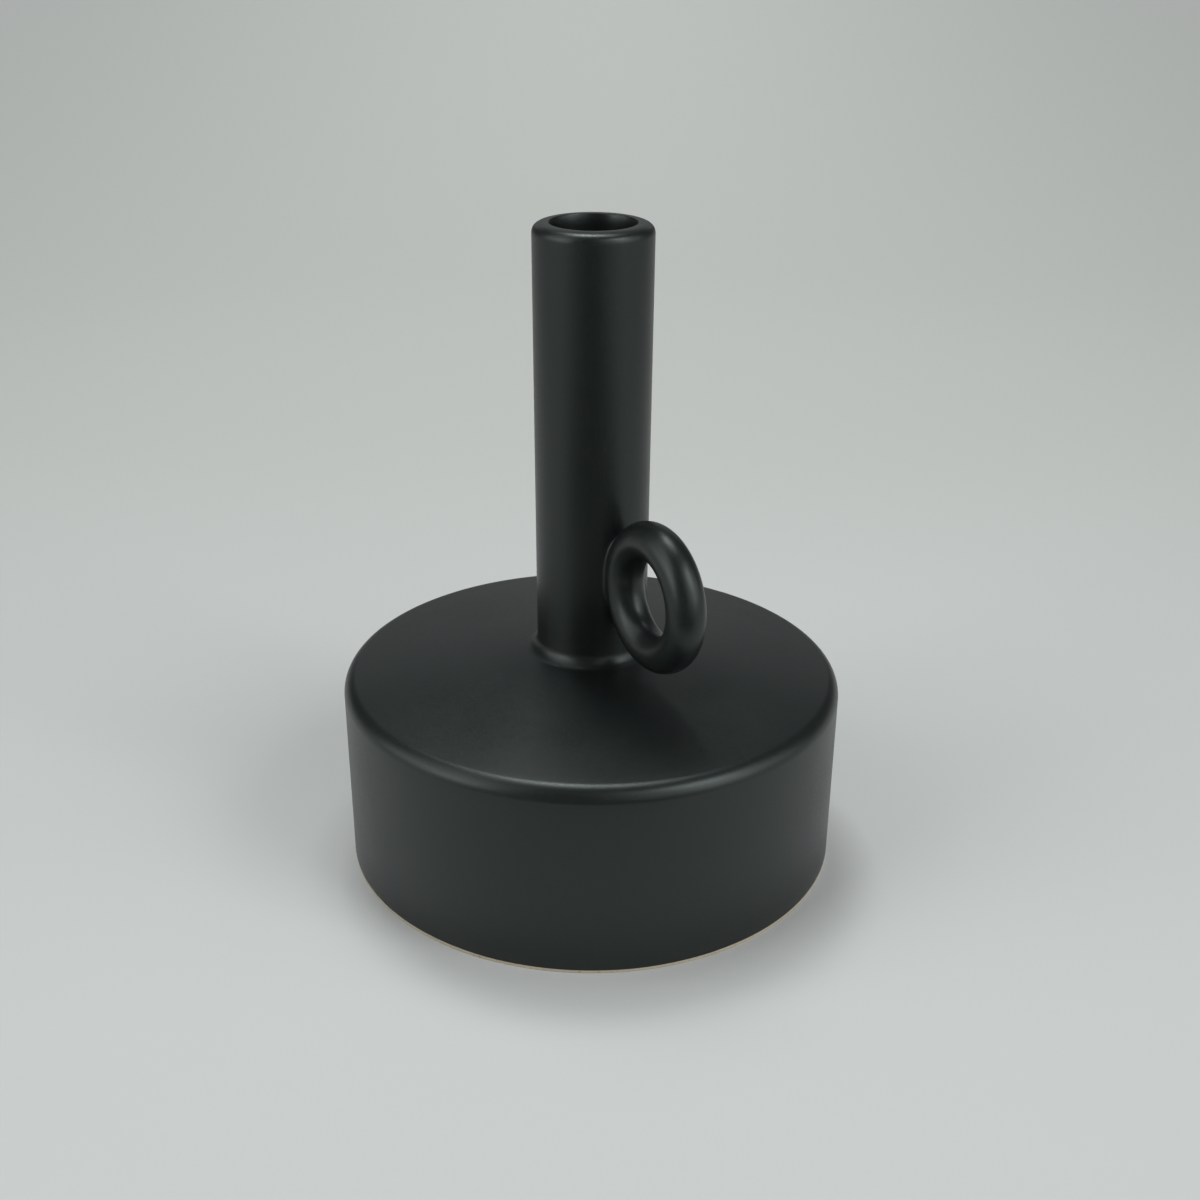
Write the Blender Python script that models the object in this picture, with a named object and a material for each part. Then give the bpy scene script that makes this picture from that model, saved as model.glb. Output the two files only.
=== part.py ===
"""Ceramic chamber candlestick: a hollow drum base, a tube neck for one dinner candle, and a ring handle.

Metres, +Z up. The drum stands on the XY plane with its axis on Z, and the ring handle is on the +X side.
Pieces that touch in the fired object have a slip gap of GAP between them here.
"""

import math

import bpy
import bmesh

MM = 0.001
GAP = 0.3 * MM

# Drum base
DRUM_RADIUS = 70.6 * MM
DRUM_HEIGHT = 55.0 * MM
SHOULDER_RADIUS = 4.4 * MM
DECK_OUTER_SLOPE = math.radians(8.6)
DECK_INNER_SLOPE = math.radians(6.2)
DRUM_WALL = 4.4 * MM

# Foot ring
FOOT_BAND = 1.0 * MM
FOOT_EDGE = 0.3 * MM
FOOT_INNER_RADIUS = 60.8 * MM
FOOT_UPSTAND = 6.0 * MM

# Neck
TOTAL_HEIGHT = 180.0 * MM
NECK_TOP_RADIUS = 15.84 * MM
NECK_BASE_RADIUS = 15.48 * MM
SOCKET_RADIUS = 11.05 * MM
SOCKET_DEPTH = 30.0 * MM
INNER_LIP = 0.5 * MM
INNER_LIP_DEPTH = 3.0 * MM
OUTER_LIP_DEPTH = 3.1 * MM
LIP_FLATNESS = 2.7
NECK_BORE_RADIUS = 8.9 * MM
SPIGOT_RADIUS = 13.0 * MM
SPIGOT_LENGTH = 11.0 * MM
NECK_FILLET_RADIUS = 4.0 * MM
FILLET_TIP = 0.35 * MM

# Candle stop
STOP_THICKNESS = 3.2 * MM
STOP_CHAMFER = 0.4 * MM

# Ring handle
RING_CENTRE_X = 33.2 * MM
RING_CENTRE_Z = 88.0 * MM
RING_MAJOR_RADIUS = 15.12 * MM
RING_TUBE_RADIUS = 5.2 * MM
RING_BEAD_RADIUS = 1.9 * MM

# Facets
DRUM_SEGMENTS = 80
NECK_SEGMENTS = 56
RING_SEGMENTS = 72
RING_SIDES = 24
BEAD_SEGMENTS = 48
BEAD_SIDES = 12
SMOOTH_ANGLE = math.radians(35)


def clear_scene():
    for obj in list(bpy.data.objects):
        bpy.data.objects.remove(obj, do_unlink=True)


def arc(centre_r, centre_z, radius, start, end, steps):
    """Points (r, z) along an arc; the angles are in degrees, counted from +r towards +z."""
    points = []
    for i in range(steps + 1):
        angle = math.radians(start + (end - start) * i / steps)
        points.append((centre_r + radius * math.cos(angle), centre_z + radius * math.sin(angle)))
    return points


def oval(centre_r, centre_z, across, up, flatness, steps):
    """Points (r, z) along a quarter of an oval, from its side up to its top; a flatness of 2 is an ellipse."""
    points = []
    for i in range(steps + 1):
        angle = math.pi / 2 * i / steps
        side = max(math.cos(angle), 0.0) ** (2 / flatness)
        rise = math.sin(angle) ** (2 / flatness)
        points.append((centre_r + across * side, centre_z + up * rise))
    points[-1] = (centre_r, centre_z + up)
    return points


def material(name, colour, roughness):
    made = bpy.data.materials.new(name)
    made.use_nodes = True
    shader = made.node_tree.nodes["Principled BSDF"]
    shader.inputs["Base Color"].default_value = (*colour, 1.0)
    shader.inputs["Roughness"].default_value = roughness
    shader.inputs["Metallic"].default_value = 0.0
    return made


def black_glaze(name):
    return material(name, (0.013, 0.016, 0.015), 0.32)


def bare_clay(name):
    return material(name, (0.36, 0.32, 0.25), 0.85)


def object_from(name, vertices, faces, look=None):
    """An object with outward faces, added to the scene."""
    mesh = bpy.data.meshes.new(name)
    mesh.from_pydata(vertices, [], faces)
    shape = bmesh.new()
    shape.from_mesh(mesh)
    bmesh.ops.recalc_face_normals(shape, faces=shape.faces)
    if shape.calc_volume(signed=True) < 0:
        bmesh.ops.reverse_faces(shape, faces=shape.faces)
    shape.to_mesh(mesh)
    shape.free()
    made = bpy.data.objects.new(name, mesh)
    bpy.context.scene.collection.objects.link(made)
    if look is not None:
        mesh.materials.append(look)
        mesh.shade_smooth()
        mesh.set_sharp_from_angle(angle=SMOOTH_ANGLE)
    return made


def lathe(name, profile, segments, look=None):
    """A closed outline of (r, z) points turned about Z. A point with r = 0 becomes one vertex."""
    vertices = []
    rings = []
    for r, z in profile:
        first = len(vertices)
        if r == 0:
            vertices.append((0.0, 0.0, z))
            rings.append([first] * segments)
            continue
        for i in range(segments):
            angle = 2 * math.pi * i / segments
            vertices.append((r * math.cos(angle), r * math.sin(angle), z))
        rings.append(list(range(first, first + segments)))
    faces = []
    for below, above in zip(rings, rings[1:] + rings[:1]):
        for i in range(segments):
            j = (i + 1) % segments
            corners = list(dict.fromkeys((below[i], below[j], above[j], above[i])))
            if len(corners) > 2:
                faces.append(corners)
    return object_from(name, vertices, faces, look)


def swept_ring(name, centres, frames, radius, sides, look=None):
    """A closed tube round a closed path, given the path's points and two cross directions at each."""
    vertices = []
    for centre, (across, up) in zip(centres, frames):
        for k in range(sides):
            angle = 2 * math.pi * k / sides
            a = radius * math.cos(angle)
            b = radius * math.sin(angle)
            vertices.append(tuple(c + a * p + b * q for c, p, q in zip(centre, across, up)))
    count = len(centres)
    faces = []
    for i in range(count):
        j = (i + 1) % count
        for k in range(sides):
            n = (k + 1) % sides
            faces.append((i * sides + k, i * sides + n, j * sides + n, j * sides + k))
    return object_from(name, vertices, faces, look)


def cut(target, cutter):
    """Takes the cutter's volume from the target, and keeps the cutter as a hidden helper."""
    cutter.hide_render = True
    cutter.display_type = "WIRE"
    step = target.modifiers.new("cut_" + cutter.name, "BOOLEAN")
    step.operation = "DIFFERENCE"
    step.solver = "EXACT"
    step.object = cutter


def deck_line(offset):
    """The deck's line from the shoulder up to the neck's seat, moved down by offset along its normal."""
    centre_r = DRUM_RADIUS - SHOULDER_RADIUS
    centre_z = DRUM_HEIGHT - SHOULDER_RADIUS
    start_r = centre_r + SHOULDER_RADIUS * math.sin(DECK_OUTER_SLOPE)
    start_z = centre_z + SHOULDER_RADIUS * math.cos(DECK_OUTER_SLOPE)
    seat_r = NECK_BASE_RADIUS + NECK_FILLET_RADIUS + 2 * FILLET_TIP
    crown = (start_r - seat_r) / (math.sin(DECK_OUTER_SLOPE) - math.sin(DECK_INNER_SLOPE))
    steps = 6
    points = []
    for i in range(steps + 1):
        slope = DECK_OUTER_SLOPE + (DECK_INNER_SLOPE - DECK_OUTER_SLOPE) * i / steps
        r = start_r - crown * (math.sin(DECK_OUTER_SLOPE) - math.sin(slope))
        z = start_z + crown * (math.cos(slope) - math.cos(DECK_OUTER_SLOPE))
        points.append((r - offset * math.sin(slope), z - offset * math.cos(slope)))
    return points


def seat_height():
    """Height of the flat seat round the deck's hole, which the neck's shoulder stands on."""
    return deck_line(0.0)[-1][1]


def neck_radius(z):
    """Outer radius of the slightly tapered neck at height z."""
    share = (z - seat_height()) / (TOTAL_HEIGHT - seat_height())
    return NECK_BASE_RADIUS + (NECK_TOP_RADIUS - NECK_BASE_RADIUS) * share


def drum_shell():
    hole = SPIGOT_RADIUS + GAP
    bottom = FOOT_BAND + GAP
    centre_r = DRUM_RADIUS - SHOULDER_RADIUS
    centre_z = DRUM_HEIGHT - SHOULDER_RADIUS
    up_to = 90 - math.degrees(DECK_OUTER_SLOPE)
    outer_deck = deck_line(0.0)
    inner_deck = deck_line(DRUM_WALL)
    profile = [(DRUM_RADIUS, bottom)]
    profile += arc(centre_r, centre_z, SHOULDER_RADIUS, 0, up_to, 7)
    profile += outer_deck[1:]
    profile.append((hole, outer_deck[-1][1]))
    profile.append((hole, inner_deck[-1][1]))
    profile += inner_deck[::-1][:-1]
    profile.append((DRUM_RADIUS - DRUM_WALL, centre_z))
    profile.append((DRUM_RADIUS - DRUM_WALL, bottom))
    return lathe("drum_shell", profile, DRUM_SEGMENTS, black_glaze("drum_glaze"))


def foot_ring():
    inside_wall = DRUM_RADIUS - DRUM_WALL - GAP
    profile = [
        (FOOT_INNER_RADIUS, 0.0),
        (DRUM_RADIUS - FOOT_EDGE, 0.0),
        (DRUM_RADIUS, FOOT_EDGE),
        (DRUM_RADIUS, FOOT_BAND),
        (inside_wall, FOOT_BAND),
        (inside_wall, FOOT_UPSTAND),
        (FOOT_INNER_RADIUS, FOOT_UPSTAND),
    ]
    return lathe("foot_ring", profile, DRUM_SEGMENTS, bare_clay("foot_clay"))


def stop_top():
    return TOTAL_HEIGHT - SOCKET_DEPTH


def neck_tube():
    shoulder = seat_height() + GAP
    ledge = stop_top() - STOP_THICKNESS - GAP
    spigot_end = shoulder - SPIGOT_LENGTH
    crest = SOCKET_RADIUS + INNER_LIP
    outer_base = TOTAL_HEIGHT - OUTER_LIP_DEPTH
    inner_base = TOTAL_HEIGHT - INNER_LIP_DEPTH
    outer_lip = oval(crest, outer_base, NECK_TOP_RADIUS - crest, OUTER_LIP_DEPTH, LIP_FLATNESS, 8)
    inner_lip = oval(crest, inner_base, -INNER_LIP, INNER_LIP_DEPTH, 2.0, 5)
    profile = [(SPIGOT_RADIUS, spigot_end), (SPIGOT_RADIUS, shoulder), (neck_radius(shoulder), shoulder)]
    profile += outer_lip
    profile += inner_lip[::-1][1:]
    profile.append((SOCKET_RADIUS, ledge))
    profile.append((NECK_BORE_RADIUS, ledge))
    profile.append((NECK_BORE_RADIUS, spigot_end))
    return lathe("neck_tube", profile, NECK_SEGMENTS, black_glaze("neck_glaze"))


def neck_fillet():
    floor = seat_height() + GAP
    top = floor + NECK_FILLET_RADIUS
    inner = NECK_BASE_RADIUS + GAP
    centre_r = inner + NECK_FILLET_RADIUS + FILLET_TIP
    centre_z = floor + NECK_FILLET_RADIUS + FILLET_TIP
    tip_angle = math.degrees(math.asin(FILLET_TIP / NECK_FILLET_RADIUS))
    hollow = arc(centre_r, centre_z, NECK_FILLET_RADIUS, 270 - tip_angle, 180 + tip_angle, 6)
    profile = [(inner, floor), (hollow[0][0], floor)] + hollow + [(neck_radius(top) + GAP, top)]
    return lathe("neck_fillet", profile, NECK_SEGMENTS, black_glaze("neck_fillet_glaze"))


def candle_stop():
    edge = SOCKET_RADIUS - GAP
    top = stop_top()
    bottom = top - STOP_THICKNESS
    profile = [
        (0, bottom),
        (edge - STOP_CHAMFER, bottom),
        (edge, bottom + STOP_CHAMFER),
        (edge, top - STOP_CHAMFER),
        (edge - STOP_CHAMFER, top),
        (0, top),
    ]
    return lathe("candle_stop", profile, NECK_SEGMENTS, bare_clay("stop_clay"))


def neck_cutter(name):
    """The neck's outside with the slip gap added, over the stretch that the ring meets."""
    low = RING_CENTRE_Z - RING_MAJOR_RADIUS
    high = RING_CENTRE_Z + RING_MAJOR_RADIUS
    profile = [(0, low), (neck_radius(low) + GAP, low), (neck_radius(high) + GAP, high), (0, high)]
    return lathe(name, profile, NECK_SEGMENTS * 2)


def torus(name, tube_radius, look=None):
    """The ring in the XZ plane, with the given tube radius."""
    centres = []
    frames = []
    for i in range(RING_SEGMENTS):
        angle = 2 * math.pi * i / RING_SEGMENTS
        out = (math.cos(angle), 0.0, math.sin(angle))
        x = RING_CENTRE_X + RING_MAJOR_RADIUS * out[0]
        z = RING_CENTRE_Z + RING_MAJOR_RADIUS * out[2]
        centres.append((x, 0.0, z))
        frames.append((out, (0.0, 1.0, 0.0)))
    return swept_ring(name, centres, frames, tube_radius, RING_SIDES, look)


def ring_handle():
    ring = torus("ring_handle", RING_TUBE_RADIUS, black_glaze("ring_glaze"))
    cut(ring, neck_cutter("saddle_cutter"))
    return ring


def outside_ring(x, y, z):
    """Distance from a point to the ring's surface, negative inside it."""
    along = math.hypot(x - RING_CENTRE_X, z - RING_CENTRE_Z) - RING_MAJOR_RADIUS
    return math.hypot(along, y) - RING_TUBE_RADIUS


def neck_point(around, height):
    """A point on the neck's outside, around metres round from +X and height metres above the ring's centre."""
    z = RING_CENTRE_Z + height
    radius = neck_radius(z)
    return (radius * math.cos(around / radius), radius * math.sin(around / radius), z)


def junction_reach(direction):
    """How far the ring's root reaches over the neck's surface in a direction from the root's middle."""
    inside = 0.0
    outside = RING_MAJOR_RADIUS
    for _ in range(40):
        middle = (inside + outside) / 2
        point = neck_point(middle * math.cos(direction), middle * math.sin(direction))
        if outside_ring(*point) < 0:
            inside = middle
        else:
            outside = middle
    return inside


def ring_fillet():
    centres = []
    frames = []
    for i in range(BEAD_SEGMENTS):
        direction = 2 * math.pi * i / BEAD_SEGMENTS
        reach = junction_reach(direction)
        x, y, z = neck_point(reach * math.cos(direction), reach * math.sin(direction))
        centres.append((x, y, z))
        around = math.atan2(y, x)
        normal = (math.cos(around), math.sin(around), 0.0)
        side = math.cos(direction)
        away = (-math.sin(around) * side, math.cos(around) * side, math.sin(direction))
        frames.append((normal, away))
    bead = swept_ring(
        "ring_fillet", centres, frames, RING_BEAD_RADIUS, BEAD_SIDES, black_glaze("ring_fillet_glaze")
    )
    cut(bead, neck_cutter("bead_neck_cutter"))
    cut(bead, torus("bead_ring_cutter", RING_TUBE_RADIUS + GAP))
    return bead


def build():
    clear_scene()
    drum_shell()
    foot_ring()
    neck_tube()
    neck_fillet()
    candle_stop()
    ring_handle()
    ring_fillet()


build()
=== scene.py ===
"""The looks of a satin black glazed ceramic candlestick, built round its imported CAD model."""

import math

import bmesh
import bpy
import numpy as np
from mathutils import Matrix, Vector


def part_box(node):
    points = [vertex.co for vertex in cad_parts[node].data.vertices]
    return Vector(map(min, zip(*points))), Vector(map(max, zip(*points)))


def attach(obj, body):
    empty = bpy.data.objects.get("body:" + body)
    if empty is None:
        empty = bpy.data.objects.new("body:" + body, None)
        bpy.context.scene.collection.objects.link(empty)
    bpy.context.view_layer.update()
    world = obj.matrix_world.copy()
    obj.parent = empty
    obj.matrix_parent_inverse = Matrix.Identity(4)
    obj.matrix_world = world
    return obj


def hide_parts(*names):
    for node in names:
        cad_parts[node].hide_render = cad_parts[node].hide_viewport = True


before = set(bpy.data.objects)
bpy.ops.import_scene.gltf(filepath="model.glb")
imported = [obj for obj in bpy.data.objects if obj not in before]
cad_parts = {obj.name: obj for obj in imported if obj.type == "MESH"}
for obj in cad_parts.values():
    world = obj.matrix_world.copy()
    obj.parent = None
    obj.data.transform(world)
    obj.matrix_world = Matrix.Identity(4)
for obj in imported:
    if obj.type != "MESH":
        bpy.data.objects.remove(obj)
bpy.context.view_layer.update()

MM = 0.001

# The CAD's own places
DRUM_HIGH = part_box("drum_shell")[1]
FOOT_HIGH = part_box("foot_ring")[1]
NECK_LOW, NECK_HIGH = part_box("neck_tube")
RING_LOW, RING_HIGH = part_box("ring_handle")
STOP_LOW, STOP_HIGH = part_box("candle_stop")

DRUM_RADIUS = DRUM_HIGH.x
TOTAL_HEIGHT = NECK_HIGH.z
NECK_TOP_RADIUS = NECK_HIGH.x
SEAT_Z = DRUM_HIGH.z
CLEARANCE = 0.3 * MM

# How finely the pieces are divided, and the angle from which an edge is sharp
DRUM_SEGMENTS = 256
NECK_SEGMENTS = 192
STOP_SEGMENTS = 96
RING_SEGMENTS = (200, 64)
ROOT_SEGMENTS = (160, 22)
SHARP_ANGLE = math.radians(35)

# Drum
DRUM_EDGE_Z = 55.0 * MM
SHOULDER_RADIUS = 4.4 * MM
DECK_OUTER_SLOPE = math.radians(8.6)
DECK_INNER_SLOPE = math.radians(6.2)
DECK_HOLE_RADIUS = 13.3 * MM
WALL = 4.4 * MM
FOOT_INNER = 60.8 * MM
FOOT_EDGE = 0.3 * MM

# The line between glaze and bare clay, and the waves it wanders in: how many, how strong, and their phase
GLAZE_LINE = 1.0 * MM
GLAZE_COAT = 0.15 * MM
LINE_WAVER = 0.04 * MM
LINE_WAVES = ((5, 1.0, 1), (11, 0.6, 2), (23, 0.4, 0))

# Neck
NECK_BASE_RADIUS = 15.48 * MM
SEAT_RADIUS = NECK_BASE_RADIUS + 4.7 * MM
SPIGOT_RADIUS = 13.0 * MM
SOCKET_RADIUS = 11.05 * MM
NECK_BORE_RADIUS = 8.9 * MM
NECK_ROOT_RADIUS = 3.6 * MM
INNER_LIP = 0.5 * MM
INNER_LIP_DEPTH = 3.0 * MM
INNER_LIP_FLATNESS = 2.0
OUTER_LIP_DEPTH = 3.1 * MM
OUTER_LIP_FLATNESS = 2.7

# How the edge of the neck's root tucks into the deck
TUCK_OUT = 0.2 * MM
TUCK_DOWN = 0.6 * MM

# Hand-made leanings: the rim is lower at the camera's side, and the deck to the camera's right
RIM_DROP = 1.2 * MM
RIM_DROP_START = 0.6 * TOTAL_HEIGHT
DECK_DROP = 0.6 * MM
DECK_DROP_RADII = (1.2 * SEAT_RADIUS, 2.2 * SEAT_RADIUS)
DECK_DROP_HEIGHTS = (0.4 * DRUM_EDGE_Z, 0.9 * DRUM_EDGE_Z)

# Candle stop
STOP_EDGE = 0.5 * MM
STOP_DISH_RADIUS = 6.0 * MM
STOP_DISH_DEPTH = 0.1 * MM

# Ring
RING_TUBE = (RING_HIGH.y - RING_LOW.y) / 2
RING_OUTER = (RING_HIGH.z - RING_LOW.z) / 2
RING_MAJOR = RING_OUTER - RING_TUBE
RING_X = RING_HIGH.x - RING_OUTER
RING_Z = (RING_HIGH.z + RING_LOW.z) / 2

# The fillet at the ring's root: its edges sink a little, and its back lies inside the ring and neck
RING_BLEND = 1.8 * MM
BLEND_EDGE = 1.02 * RING_BLEND
EDGE_SINK = 0.04 * MM
BACK_DEPTH = 0.8 * MM
BACK_BULGE = 0.3 * MM
ROOT_LIMIT = 14 * MM

# Glaze and clay colours
GLAZE_DEEP = (0.0056, 0.0076, 0.0074)
GLAZE_CLOUD = (0.0080, 0.0100, 0.0096)
GLAZE_MOTTLE = (0.0125, 0.0140, 0.0130)
GLAZE_REFLECTION = (0.92, 1.0, 0.98)
DUST_COLOUR = (0.30, 0.30, 0.28)
CLAY_WARM = (0.46, 0.38, 0.28)
CLAY_PALE = (0.58, 0.50, 0.39)
CLAY_GROG = (0.26, 0.19, 0.13)

# Dust on the glaze
DUST_CELLS_PER_METRE = 95.0
DUST_SIZE = 0.028
DUST_SHARE = 0.07

# Camera and studio, in a frame with X to the camera's right, Y away from it and Z up
VIEW_TURN = math.radians(60.2)
CAMERA_PLACE = Vector((2.27, -372.54, 237.91)) * MM
CAMERA_PITCH = math.radians(23.663)
CAMERA_ROLL = 0.0064
CAMERA_LENS = 43.155

# Paper: its tones, the painted shade where its light falls off behind the object and to its sides, and its
# curves, in metres
PAPER_TONES = ((0.625, 0.625, 0.625), (0.640, 0.640, 0.640))
PAPER_SHADE_BEHIND = (0.57, 0.57, 0.555)
PAPER_SHADE_BESIDE = (0.44, 0.44, 0.43)
PAPER_NEAR = -0.1
PAPER_FAR = 0.45
PAPER_SIDE = 1.0
PAPER_SEGMENTS = 96
SWEEP_FLAT = 0.9
SWEEP_CURVE = 3.0
FAR_FLAT = 3.4
FAR_CURVE = 2.0

# Soft boxes, BOX_DISTANCE from the point they aim at: name, azimuth, elevation, width, height, radiance.
# Azimuth is 0 behind the object and 90 to the camera's right; the sides are shares of the distance.
BOX_DISTANCE = 4.5
BOX_AIM = Vector((0, 0, 80 * MM))
LIGHT_COLOUR = (0.955, 1.0, 0.99)
SURROUND = 0.062
SOFT_BOXES = (
    ("top_back", -17, 68, 0.27, 0.27, 9.00),
    ("top_middle", 0, 76, 0.50, 0.40, 3.80),
    ("left_low", -95, 18, 0.50, 0.45, 1.49),
    ("left_middle", -95, 42, 0.40, 0.38, 1.14),
    ("left_high", -90, 62, 0.40, 0.35, 1.05),
    ("right_low", 95, 18, 0.50, 0.45, 0.99),
    ("right_middle", 95, 42, 0.40, 0.38, 0.57),
    ("front_left_low", -122, 18, 0.45, 0.45, 2.90),
    ("front_left_high", -122, 42, 0.40, 0.38, 1.65),
    ("front_right_low", 122, 18, 0.45, 0.45, 2.47),
    ("front_right_high", 122, 42, 0.40, 0.38, 5.01),
    ("front_low", 150, 18, 0.45, 0.45, 0.88),
    ("front_high", 150, 42, 0.40, 0.38, 1.04),
    ("back_low", 0, 20, 1.0, 0.31, 0.34),
)


def turned(point):
    """A point of the camera's frame in the row frame."""
    return Matrix.Rotation(VIEW_TURN, 3, "Z") @ Vector(point)


def share_between(value, low, high):
    """How far a value is from low to high, kept within 0 and 1."""
    return min(max((value - low) / (high - low), 0.0), 1.0)


# Outlines, as (r, z) points


def arc(centre_r, centre_z, radius, start, end, steps):
    """Points along an arc; the angles are in degrees, counted from +r towards +z."""
    angles = [math.radians(start + (end - start) * i / steps) for i in range(steps + 1)]
    return [(centre_r + radius * math.cos(a), centre_z + radius * math.sin(a)) for a in angles]


def oval(centre_r, centre_z, across, up, flatness, steps):
    """Points along a quarter of an oval, from its side up to its top; a flatness of 2 is an ellipse."""
    points = []
    for i in range(steps + 1):
        angle = math.pi / 2 * i / steps
        side = max(math.cos(angle), 0.0) ** (2 / flatness)
        rise = math.sin(angle) ** (2 / flatness)
        points.append((centre_r + across * side, centre_z + up * rise))
    return points


def straight(start, end, steps):
    """Points between start and end, leaving both out."""
    shares = [i / steps for i in range(1, steps)]
    return [(start[0] + (end[0] - start[0]) * s, start[1] + (end[1] - start[1]) * s) for s in shares]


# Meshes


def revolved(profile, segments, closed):
    """Vertices and faces of an outline turned about Z. A point with r = 0 becomes one vertex."""
    vertices = []
    rings = []
    for r, z in profile:
        first = len(vertices)
        if r == 0:
            vertices.append((0.0, 0.0, z))
            rings.append([first] * segments)
            continue
        for i in range(segments):
            angle = 2 * math.pi * i / segments
            vertices.append((r * math.cos(angle), r * math.sin(angle), z))
        rings.append(list(range(first, first + segments)))
    after = rings[1:] + rings[:1] if closed else rings[1:]
    faces = []
    for below, above in zip(rings, after):
        for i in range(segments):
            j = (i + 1) % segments
            corners = list(dict.fromkeys((below[i], below[j], above[j], above[i])))
            if len(corners) > 2:
                faces.append(corners)
    return vertices, faces


def closed_grid(rows, columns):
    """Faces of a grid of vertices that closes on itself both ways."""
    faces = []
    for i in range(rows):
        j = (i + 1) % rows
        for k in range(columns):
            n = (k + 1) % columns
            faces.append((i * columns + k, i * columns + n, j * columns + n, j * columns + k))
    return faces


def mesh_piece(name, vertices, faces, look, slot, *nodes):
    """A closed piece of the object, with its faces outward, that stands for the given CAD nodes."""
    mesh = bpy.data.meshes.new(name)
    mesh.from_pydata([tuple(v) for v in vertices], [], faces)
    shape = bmesh.new()
    shape.from_mesh(mesh)
    bmesh.ops.recalc_face_normals(shape, faces=shape.faces)
    if shape.calc_volume(signed=True) < 0:
        bmesh.ops.reverse_faces(shape, faces=shape.faces)
    shape.to_mesh(mesh)
    shape.free()
    mesh.materials.append(look)
    mesh.shade_smooth()
    mesh.set_sharp_from_angle(angle=SHARP_ANGLE)
    piece = bpy.data.objects.new(name, mesh)
    bpy.context.scene.collection.objects.link(piece)
    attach(piece, "root")
    if nodes:
        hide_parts(*nodes)
    return piece


def lathe(name, profile, segments, look, slot, *nodes):
    """A piece turned about Z from a closed outline."""
    vertices, faces = revolved(profile, segments, closed=True)
    return mesh_piece(name, vertices, faces, look, slot, *nodes)


# Materials


def new_material(name):
    """A material with its nodes and links."""
    made = bpy.data.materials.new(name)
    made.use_nodes = True
    return made, made.node_tree.nodes, made.node_tree.links


def object_place(nodes):
    """The place on the object, in metres."""
    return nodes.new("ShaderNodeTexCoord").outputs["Object"]


def noise(nodes, links, vector, scale, detail, roughness=0.5):
    """Soft noise from 0 to 1; scale is about how many waves it has in a metre."""
    node = nodes.new("ShaderNodeTexNoise")
    node.inputs["Scale"].default_value = scale
    node.inputs["Detail"].default_value = detail
    node.inputs["Roughness"].default_value = roughness
    links.new(vector, node.inputs["Vector"])
    return node.outputs["Fac"]


def ranged(nodes, links, value, low, high, to_low, to_high):
    """A value that goes from low to high, turned into one that goes from to_low to to_high and no further."""
    node = nodes.new("ShaderNodeMapRange")
    for socket, number in zip(("From Min", "From Max", "To Min", "To Max"), (low, high, to_low, to_high)):
        node.inputs[socket].default_value = number
    links.new(value, node.inputs["Value"])
    return node.outputs["Result"]


def smooth(nodes, links, value, low, high):
    """A soft step from 0 at low to 1 at high."""
    node = nodes.new("ShaderNodeMapRange")
    node.interpolation_type = "SMOOTHSTEP"
    node.inputs["From Min"].default_value = low
    node.inputs["From Max"].default_value = high
    links.new(value, node.inputs["Value"])
    return node.outputs["Result"]


def mixed(nodes, links, share, first, second):
    """A mix of two colours, each a tuple or another node's colour."""
    node = nodes.new("ShaderNodeMix")
    node.data_type = "RGBA"
    links.new(share, node.inputs["Factor"])
    for socket, colour in ((node.inputs["A"], first), (node.inputs["B"], second)):
        if isinstance(colour, tuple):
            socket.default_value = (*colour, 1.0)
        else:
            links.new(colour, socket)
    return node.outputs["Result"]


def math_node(nodes, links, operation, first, second):
    """An operation on two values, each a number or another node's value."""
    node = nodes.new("ShaderNodeMath")
    node.operation = operation
    for socket, value in zip(node.inputs, (first, second)):
        if isinstance(value, (int, float)):
            socket.default_value = value
        else:
            links.new(value, socket)
    return node.outputs["Value"]


def bump(nodes, links, height, distance, strength, under=None):
    """A bump of the given distance in metres, on top of another one if there is one."""
    node = nodes.new("ShaderNodeBump")
    node.inputs["Distance"].default_value = distance
    node.inputs["Strength"].default_value = strength
    links.new(height, node.inputs["Height"])
    if under is not None:
        links.new(under, node.inputs["Normal"])
    return node.outputs["Normal"]


def dust(nodes, links, place):
    """Shares of 1 where one of a few tiny specks of dust lies on a surface that faces up."""
    cells = nodes.new("ShaderNodeTexVoronoi")
    cells.inputs["Scale"].default_value = DUST_CELLS_PER_METRE
    links.new(place, cells.inputs["Vector"])
    speck = ranged(nodes, links, cells.outputs["Distance"], DUST_SIZE, DUST_SIZE * 0.7, 0.0, 1.0)
    chosen = nodes.new("ShaderNodeSeparateColor")
    links.new(cells.outputs["Color"], chosen.inputs["Color"])
    few = ranged(nodes, links, chosen.outputs["Red"], 1 - DUST_SHARE, 1.01 - DUST_SHARE, 0.0, 1.0)
    facing = nodes.new("ShaderNodeSeparateXYZ")
    links.new(nodes.new("ShaderNodeNewGeometry").outputs["Normal"], facing.inputs["Vector"])
    upward = ranged(nodes, links, facing.outputs["Z"], 0.80, 0.95, 0.0, 1.0)
    settled = math_node(nodes, links, "MULTIPLY", few, upward)
    return math_node(nodes, links, "MULTIPLY", speck, settled)


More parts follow.
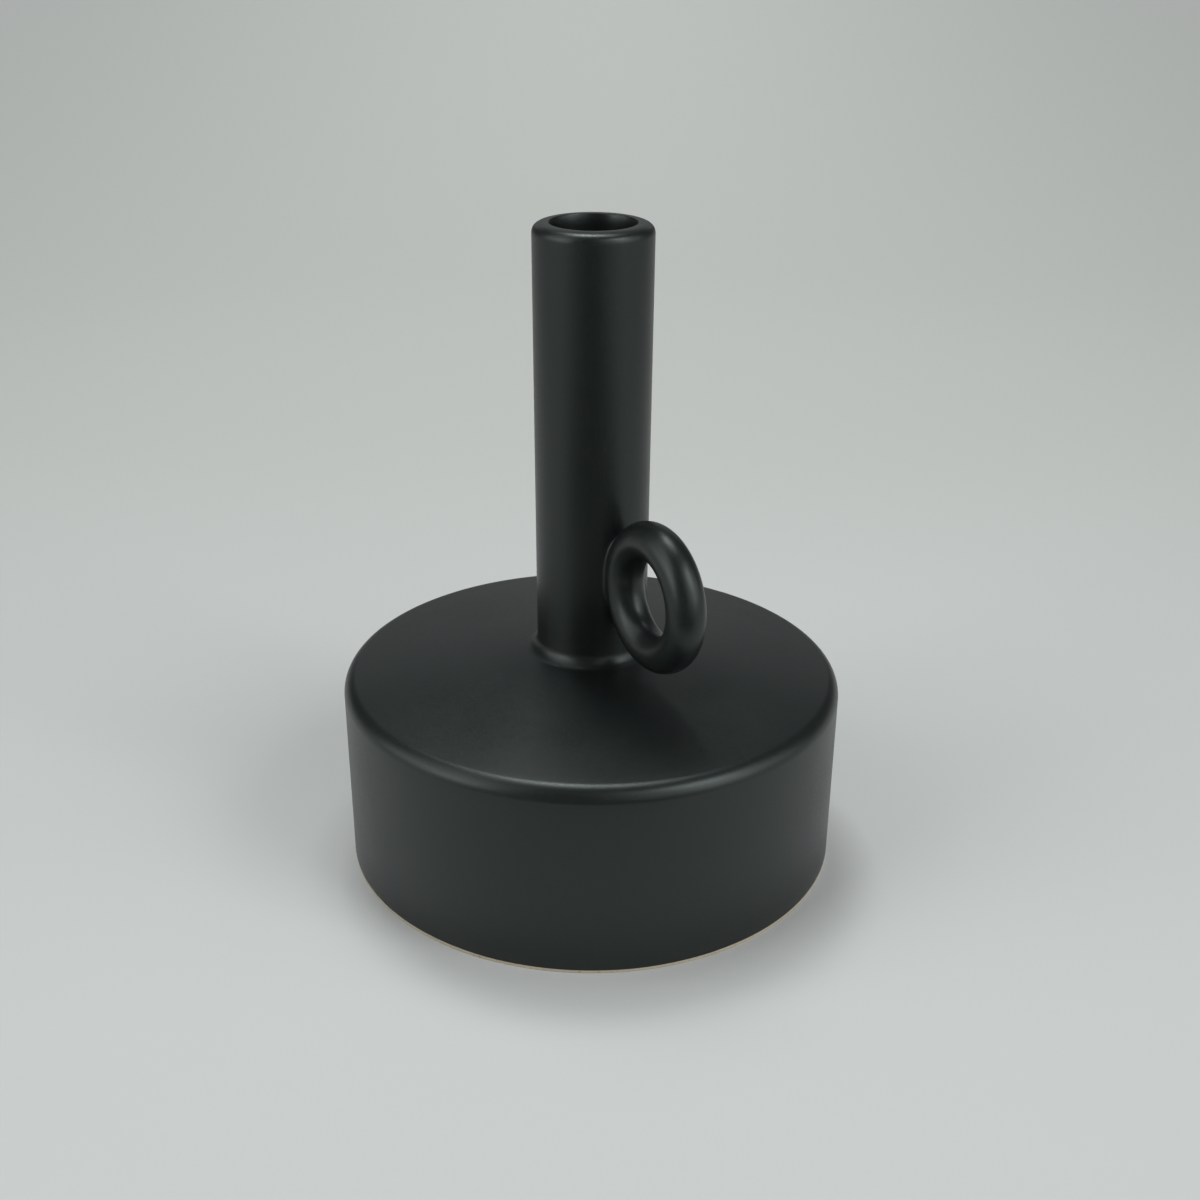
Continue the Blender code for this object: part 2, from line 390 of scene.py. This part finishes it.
def black_glaze(name):
    """Satin black glaze: clouded tone and gloss, a soft orange peel, fine grain and a little dust."""
    made, nodes, links = new_material(name)
    shader = nodes["Principled BSDF"]
    place = object_place(nodes)
    cloudy = noise(nodes, links, place, scale=38.0, detail=4.0, roughness=0.6)
    speckle = noise(nodes, links, place, scale=1500.0, detail=2.0)
    peel = noise(nodes, links, place, scale=420.0, detail=1.0)
    grain = noise(nodes, links, place, scale=3200.0, detail=2.0)
    swell = noise(nodes, links, place, scale=70.0, detail=1.0)
    deep = mixed(nodes, links, cloudy, GLAZE_DEEP, GLAZE_CLOUD)
    mottled = ranged(nodes, links, speckle, 0.60, 0.72, 0.0, 1.0)
    glaze = mixed(nodes, links, mottled, deep, GLAZE_MOTTLE)
    specks = dust(nodes, links, place)
    links.new(mixed(nodes, links, specks, glaze, DUST_COLOUR), shader.inputs["Base Color"])
    satin = ranged(nodes, links, cloudy, 0.3, 0.7, 0.335, 0.385)
    grainy = ranged(nodes, links, speckle, 0.3, 0.7, -0.03, 0.03)
    gloss = math_node(nodes, links, "ADD", satin, grainy)
    dull = ranged(nodes, links, specks, 0.0, 1.0, 0.0, 0.4)
    links.new(math_node(nodes, links, "ADD", gloss, dull), shader.inputs["Roughness"])
    shader.inputs["IOR"].default_value = 1.5
    shader.inputs["Specular Tint"].default_value = (*GLAZE_REFLECTION, 1.0)
    normal = bump(nodes, links, swell, distance=0.05 * MM, strength=0.35)
    normal = bump(nodes, links, peel, distance=0.02 * MM, strength=0.30, under=normal)
    normal = bump(nodes, links, grain, distance=0.01 * MM, strength=0.50, under=normal)
    links.new(normal, shader.inputs["Normal"])
    return made


def bare_clay(name):
    """Unglazed cream stoneware: warm and pale patches, darker grog specks and a dry grainy face."""
    made, nodes, links = new_material(name)
    shader = nodes["Principled BSDF"]
    place = object_place(nodes)
    cloudy = noise(nodes, links, place, scale=120.0, detail=4.0)
    grog = noise(nodes, links, place, scale=1100.0, detail=2.0)
    grain = noise(nodes, links, place, scale=2500.0, detail=3.0)
    body = mixed(nodes, links, cloudy, CLAY_WARM, CLAY_PALE)
    dark = ranged(nodes, links, grog, 0.62, 0.74, 0.0, 1.0)
    links.new(mixed(nodes, links, dark, body, CLAY_GROG), shader.inputs["Base Color"])
    links.new(ranged(nodes, links, grain, 0.3, 0.7, 0.80, 0.92), shader.inputs["Roughness"])
    normal = bump(nodes, links, cloudy, distance=0.1 * MM, strength=0.3)
    normal = bump(nodes, links, grain, distance=0.06 * MM, strength=0.5, under=normal)
    links.new(normal, shader.inputs["Normal"])
    return made


# Drum and foot


def deck_line(offset, steps):
    """The deck's line from the shoulder up to the neck's seat, moved down by offset along its normal."""
    centre_r = DRUM_RADIUS - SHOULDER_RADIUS
    centre_z = DRUM_EDGE_Z - SHOULDER_RADIUS
    start_r = centre_r + SHOULDER_RADIUS * math.sin(DECK_OUTER_SLOPE)
    start_z = centre_z + SHOULDER_RADIUS * math.cos(DECK_OUTER_SLOPE)
    crown = (start_r - SEAT_RADIUS) / (math.sin(DECK_OUTER_SLOPE) - math.sin(DECK_INNER_SLOPE))
    points = []
    for i in range(steps + 1):
        slope = DECK_OUTER_SLOPE + (DECK_INNER_SLOPE - DECK_OUTER_SLOPE) * i / steps
        r = start_r - crown * (math.sin(DECK_OUTER_SLOPE) - math.sin(slope))
        z = start_z + crown * (math.cos(slope) - math.cos(DECK_OUTER_SLOPE))
        points.append((r - offset * math.sin(slope), z - offset * math.cos(slope)))
    return points


def waver(piece):
    """Lets the glaze line wander a little, as a wiped edge does."""
    for vertex in piece.data.vertices:
        if abs(vertex.co.z - GLAZE_LINE) > 1.5 * GLAZE_COAT:
            continue
        angle = math.atan2(vertex.co.y, vertex.co.x)
        wave = sum(strength * math.sin(count * angle + phase) for count, strength, phase in LINE_WAVES)
        vertex.co.z += LINE_WAVER * wave


def lean(piece):
    """Lowers the deck and shoulder a little on one side, as hand-finished ware is; the neck's seat stays."""
    side = turned((1, 0, 0))
    for vertex in piece.data.vertices:
        outward = share_between(math.hypot(vertex.co.x, vertex.co.y), *DECK_DROP_RADII)
        upward = share_between(vertex.co.z, *DECK_DROP_HEIGHTS)
        towards = (1 + vertex.co.dot(side) / DRUM_RADIUS) / 2
        vertex.co.z -= DECK_DROP * outward * upward * towards**2


def drum(look):
    """The glazed hollow drum, open below, with a hole for the neck's spigot."""
    centre_r = DRUM_RADIUS - SHOULDER_RADIUS
    centre_z = DRUM_EDGE_Z - SHOULDER_RADIUS
    inner_wall = DRUM_RADIUS - WALL
    outer_deck = deck_line(0.0, 24)
    inner_deck = deck_line(WALL, 8)
    seat_r, seat_z = outer_deck[-1]
    profile = arc(DRUM_RADIUS - GLAZE_COAT, GLAZE_LINE + GLAZE_COAT, GLAZE_COAT, -90, 0, 5)
    profile += straight(profile[-1], (DRUM_RADIUS, centre_z), 12)
    profile += arc(centre_r, centre_z, SHOULDER_RADIUS, 0, 90 - math.degrees(DECK_OUTER_SLOPE), 20)
    profile += outer_deck[1:]
    profile.append((DECK_HOLE_RADIUS, seat_z + (seat_r - DECK_HOLE_RADIUS) * math.tan(DECK_INNER_SLOPE)))
    profile.append((DECK_HOLE_RADIUS, inner_deck[-1][1]))
    profile += inner_deck[::-1][:-1]
    profile += [(inner_wall, centre_z), (inner_wall, GLAZE_LINE)]
    made = lathe("drum_body", profile, DRUM_SEGMENTS, look, "black_glaze", "drum_shell")
    waver(made)
    lean(made)


def foot(look):
    """The bare clay ring under the drum's wall, with its upstand inside the wall."""
    outer = DRUM_RADIUS - GLAZE_COAT
    register = DRUM_RADIUS - WALL
    top = FOOT_HIGH.z
    profile = arc(FOOT_INNER + FOOT_EDGE, FOOT_EDGE, FOOT_EDGE, 180, 270, 4)
    profile += arc(outer - FOOT_EDGE, FOOT_EDGE, FOOT_EDGE, -90, 0, 5)
    profile += [(outer, GLAZE_LINE), (register, GLAZE_LINE)]
    profile += [(register, top - FOOT_EDGE), (register - FOOT_EDGE, top)]
    profile += [(FOOT_INNER + FOOT_EDGE, top), (FOOT_INNER, top - FOOT_EDGE)]
    made = lathe("clay_foot", profile, DRUM_SEGMENTS, look, "bare_clay", "foot_ring")
    waver(made)


# Neck and candle stop


def neck_root():
    """The fillet from the deck up into the neck's side."""
    centre_r = NECK_BASE_RADIUS + NECK_ROOT_RADIUS
    deck_z = SEAT_Z + (SEAT_RADIUS - centre_r) * math.tan(DECK_INNER_SLOPE)
    centre_z = deck_z + NECK_ROOT_RADIUS / math.cos(DECK_INNER_SLOPE)
    return arc(centre_r, centre_z, NECK_ROOT_RADIUS, 270 - math.degrees(DECK_INNER_SLOPE), 180, 16)


def neck(look):
    """The tube with its spigot, root, oval lip, candle socket and the bore under it."""
    crest = SOCKET_RADIUS + INNER_LIP
    outer_z = TOTAL_HEIGHT - OUTER_LIP_DEPTH
    inner_z = TOTAL_HEIGHT - INNER_LIP_DEPTH
    ledge = STOP_LOW.z - CLEARANCE
    root = neck_root()
    root_r, root_z = root[0]
    outer = oval(crest, outer_z, NECK_TOP_RADIUS - crest, OUTER_LIP_DEPTH, OUTER_LIP_FLATNESS, 28)
    inner = oval(crest, inner_z, -INNER_LIP, INNER_LIP_DEPTH, INNER_LIP_FLATNESS, 20)[::-1]
    profile = [(SPIGOT_RADIUS, NECK_LOW.z), (SPIGOT_RADIUS, root_z - 2 * TUCK_DOWN)]
    profile += [(root_r + TUCK_OUT, root_z - TUCK_DOWN)]
    profile += root
    profile += straight(root[-1], outer[0], 40)
    profile += outer + inner[1:]
    profile += straight(inner[-1], (SOCKET_RADIUS, ledge), 8)
    profile += [(SOCKET_RADIUS, ledge), (NECK_BORE_RADIUS, ledge), (NECK_BORE_RADIUS, NECK_LOW.z)]
    made = lathe("neck", profile, NECK_SEGMENTS, look, "black_glaze", "neck_tube", "neck_fillet")
    away = turned((0, 1, 0))
    for vertex in made.data.vertices:
        share = share_between(vertex.co.z, RIM_DROP_START, TOTAL_HEIGHT)
        vertex.co.z -= RIM_DROP * share * (1 - vertex.co.dot(away) / NECK_TOP_RADIUS) / 2


def candle_stop(look):
    """The slightly dished clay disc that the candle stands on."""
    top = STOP_HIGH.z
    bottom = STOP_LOW.z
    outer = SOCKET_RADIUS - CLEARANCE
    profile = [(0, bottom), (outer, bottom)]
    profile += arc(outer - STOP_EDGE, top - STOP_EDGE, STOP_EDGE, 0, 90, 6)
    profile += [(STOP_DISH_RADIUS, top - STOP_DISH_DEPTH / 2), (0, top - STOP_DISH_DEPTH)]
    lathe("stop_disc", profile, STOP_SEGMENTS, look, "bare_clay", "candle_stop")


# Ring and its root


def ring_distance(p):
    """Distance from the ring's surface, less than nought inside it."""
    along = np.hypot(p[..., 0] - RING_X, p[..., 2] - RING_Z) - RING_MAJOR
    return np.hypot(along, p[..., 1]) - RING_TUBE


def neck_distance(p):
    """Distance from the neck's tapered side, less than nought inside it."""
    share = (p[..., 2] - SEAT_Z) / (TOTAL_HEIGHT - SEAT_Z)
    radius = NECK_BASE_RADIUS + (NECK_TOP_RADIUS - NECK_BASE_RADIUS) * share
    return np.hypot(p[..., 0], p[..., 1]) - radius


def blended_distance(p):
    """Distance to the ring and neck run together by a soft fillet."""
    a = ring_distance(p)
    b = neck_distance(p)
    h = np.clip(RING_BLEND - np.abs(a - b), 0, None) / RING_BLEND
    return np.minimum(a, b) - h * h * RING_BLEND / 4


def gradient(distance, p):
    """The slope of a distance, which points straight out of its surface."""
    step = 1e-6
    parts = []
    for axis in range(3):
        move = np.zeros(3)
        move[axis] = step
        parts.append((distance(p + move) - distance(p - move)) / (2 * step))
    return np.stack(parts, axis=-1)


def settle(distance, p, rounds=30):
    """Moves points onto the surface where the distance is nought."""
    for _ in range(rounds):
        slope = gradient(distance, p)
        size = (slope * slope).sum(-1, keepdims=True)
        p = p - distance(p)[..., None] * slope / np.maximum(size, 0.05)
    return p


def torus_point(u, v):
    """A point on the ring: u goes round its middle from +X, and v round its rod from its outside."""
    r = RING_MAJOR + RING_TUBE * np.cos(v)
    return np.stack([RING_X + r * np.cos(u), RING_TUBE * np.sin(v), RING_Z + r * np.sin(u)], axis=-1)


def ring(look):
    """The whole ring; its innermost part lies inside the neck's wall."""
    around, sides = RING_SEGMENTS
    vertices = []
    for i in range(around):
        u = 2 * math.pi * i / around
        for k in range(sides):
            v = 2 * math.pi * k / sides
            vertices.append(torus_point(np.float64(u), np.float64(v)))
    mesh_piece("ring", vertices, closed_grid(around, sides), look, "black_glaze", "ring_handle")


def last_inside(inside, limit):
    """The largest lengths, up to the limit, at which inside still holds, found by halving."""
    near = np.zeros_like(limit)
    far = limit
    for _ in range(40):
        middle = (near + far) / 2
        held = inside(middle)
        near = np.where(held, middle, near)
        far = np.where(held, far, middle)
    return near


def ring_root(look):
    """The soft fillet that runs the ring into the neck, as one closed band."""
    around, steps = ROOT_SEGMENTS
    t = 2 * np.pi * np.arange(around) / around
    u_share = 1.6 * np.sin(t)
    v_share = 2.4 * np.cos(t)

    def on_torus(share):
        return torus_point(math.pi + share * u_share, share * v_share)

    def off_neck(clear):
        """Points of the ring that are the given length clear of the neck."""
        return on_torus(last_inside(lambda share: neck_distance(on_torus(share)) < clear, np.ones(around)))

    joint = off_neck(0.0)
    on_ring = off_neck(BLEND_EDGE)
    away = joint - torus_point(np.float64(math.pi), np.float64(0.0))
    away[:, 0] = 0
    away /= np.linalg.norm(away, axis=1, keepdims=True)

    def along_neck(reach):
        return settle(neck_distance, joint + away * reach[:, None], 6)

    limit = np.full(around, ROOT_LIMIT)
    on_neck = along_neck(last_inside(lambda reach: ring_distance(along_neck(reach)) < BLEND_EDGE, limit))
    rows = []
    for i in range(steps + 1):
        s = i / steps
        p = (1 - s) ** 2 * on_neck + 2 * s * (1 - s) * joint + s * s * on_ring
        rows.append(settle(blended_distance, p))
    rows[0] = rows[0] - gradient(neck_distance, rows[0]) * EDGE_SINK
    rows[-1] = rows[-1] - gradient(ring_distance, rows[-1]) * EDGE_SINK
    out_of_neck = gradient(neck_distance, joint)
    out_of_ring = gradient(ring_distance, joint)
    inner = joint - out_of_neck * BACK_DEPTH - out_of_ring * BACK_DEPTH
    rows.append((rows[-1] + inner) / 2 - out_of_ring * BACK_BULGE)
    rows.append(inner)
    rows.append((rows[0] + inner) / 2 - out_of_neck * BACK_BULGE)
    faces = closed_grid(len(rows), around)
    mesh_piece("ring_root", np.concatenate(rows), faces, look, "black_glaze", "ring_fillet")


# Stage


def lies_along(nodes, links, place, direction):
    """How far a place lies along a direction of the camera's frame."""
    node = nodes.new("ShaderNodeVectorMath")
    node.operation = "DOT_PRODUCT"
    node.inputs[1].default_value = tuple(turned(direction))
    links.new(place, node.inputs[0])
    return node.outputs["Value"]


def paper_material():
    """Pale paper with a painted pool of light: painted shade makes it a little darker behind the object and
    out to the sides.
    """
    made, nodes, links = new_material("pale_paper")
    shader = nodes["Principled BSDF"]
    place = object_place(nodes)
    soft = noise(nodes, links, place, scale=6.0, detail=3.0)
    fibre = noise(nodes, links, place, scale=700.0, detail=3.0)
    clean = mixed(nodes, links, soft, *PAPER_TONES)
    # painted shade: the paper's colour darkens behind the object, standing in for its light falling off
    behind = smooth(nodes, links, lies_along(nodes, links, place, (0, 1, 0)), PAPER_NEAR, PAPER_FAR)
    shaded_tone = mixed(nodes, links, behind, clean, PAPER_SHADE_BEHIND)
    # painted shade: the paper's colour darkens out to the sides, standing in for its light falling off
    sideways = math_node(nodes, links, "ABSOLUTE", lies_along(nodes, links, place, (1, 0, 0)), 0.0)
    shade_to_sides = smooth(nodes, links, sideways, 0.0, PAPER_SIDE)
    links.new(mixed(nodes, links, shade_to_sides, shaded_tone, PAPER_SHADE_BESIDE), shader.inputs["Base Color"])
    shader.inputs["Roughness"].default_value = 0.75
    links.new(bump(nodes, links, fibre, distance=0.03 * MM, strength=0.3), shader.inputs["Normal"])
    return made


def staged(name, vertices, faces, look):
    """A thing of the stage, which is not part of the object."""
    mesh = bpy.data.meshes.new(name)
    mesh.from_pydata(vertices, [], faces)
    mesh.materials.append(look)
    mesh.shade_smooth()
    made = bpy.data.objects.new(name, mesh)
    bpy.context.scene.collection.objects.link(made)
    return made


def sweep():
    """Seamless paper: a flat floor, a curve that only the camera sees, and a far floor that it doesn't."""
    look = paper_material()

    def paper(name, profile):
        return staged(name, *revolved(profile, PAPER_SEGMENTS, closed=False), look)

    middle = (0.0, 0.0)
    edge = (SWEEP_FLAT, 0.0)
    paper("sweep", [middle] + straight(middle, edge, 10) + [edge])
    wall = paper("sweep_wall", arc(SWEEP_FLAT, SWEEP_CURVE, SWEEP_CURVE, -90, 0, 60))
    wall.visible_glossy = False
    wall.visible_diffuse = False
    wall.visible_shadow = False
    bend = arc(FAR_FLAT, FAR_CURVE, FAR_CURVE, -90, -45, 16)
    far = paper("far_floor", [edge] + straight(edge, (FAR_FLAT, 0.0), 8) + bend)
    far.visible_camera = False


def reflected_shade_card():
    """A dark card in front of the set that only reflections see: a dark sheet put in for the shade that the
    glaze reflects from the front, a painted dark reflection.
    """
    left, right, near, far, lift = -0.30, 0.30, -2.0, -0.18, 0.004
    corners = ((left, near, lift), (right, near, lift), (right, far, lift), (left, far, lift))
    # painted reflection: the card's near-black colour stands in for shade in front of the object, seen only
    # in the glaze's reflections
    look, nodes, _ = new_material("dark_card")
    shader = nodes["Principled BSDF"]
    shader.inputs["Base Color"].default_value = (0.02, 0.02, 0.02, 1)
    shader.inputs["Roughness"].default_value = 1.0
    card = staged("reflected_shade_card", [tuple(turned(corner)) for corner in corners], [(0, 1, 2, 3)], look)
    card.visible_camera = False
    card.visible_diffuse = False
    card.visible_shadow = False


def soft_box(name, azimuth, elevation, width_share, height_share, radiance):
    """A soft box that faces the object and that the camera doesn't see."""
    width = width_share * BOX_DISTANCE
    height = height_share * BOX_DISTANCE
    data = bpy.data.lights.new(name, "AREA")
    data.shape = "RECTANGLE"
    data.size = width
    data.size_y = height
    data.energy = radiance * math.pi * width * height
    data.color = LIGHT_COLOUR
    a, e = math.radians(azimuth), math.radians(elevation)
    outward = turned((math.sin(a) * math.cos(e), math.cos(a) * math.cos(e), math.sin(e)))
    light = bpy.data.objects.new(name, data)
    light.location = BOX_AIM + outward * BOX_DISTANCE
    light.rotation_euler = (-outward).to_track_quat("-Z", "Y").to_euler()
    light.visible_camera = False
    bpy.context.scene.collection.objects.link(light)


def studio():
    """The paper, the card, the soft boxes and a dim even surround."""
    sweep()
    reflected_shade_card()
    for box in SOFT_BOXES:
        soft_box(*box)
    world = bpy.data.worlds.new("studio")
    bpy.context.scene.world = world
    world.use_nodes = True
    background = world.node_tree.nodes["Background"]
    background.inputs["Color"].default_value = (*LIGHT_COLOUR, 1)
    background.inputs["Strength"].default_value = SURROUND


def camera():
    """The camera, looking down a little at the object, and a plain view of its colours."""
    data = bpy.data.cameras.new("camera")
    data.lens = CAMERA_LENS
    data.sensor_width = 36.0
    data.clip_start = 0.01
    made = bpy.data.objects.new("camera", data)
    tilt = Matrix.Rotation(math.pi / 2 - CAMERA_PITCH, 4, "X")
    roll = Matrix.Rotation(CAMERA_ROLL, 4, "Z")
    turn = Matrix.Rotation(VIEW_TURN, 4, "Z")
    made.matrix_world = Matrix.Translation(turned(CAMERA_PLACE)) @ turn @ tilt @ roll
    bpy.context.scene.collection.objects.link(made)
    bpy.context.scene.camera = made
    bpy.context.scene.view_settings.view_transform = "Standard"


def build():
    """The set and the object, piece by piece."""
    camera()
    studio()
    glaze = black_glaze("satin_black_glaze")
    clay = bare_clay("bare_cream_clay")
    drum(glaze)
    foot(clay)
    neck(glaze)
    candle_stop(clay)
    ring(glaze)
    ring_root(glaze)


build()
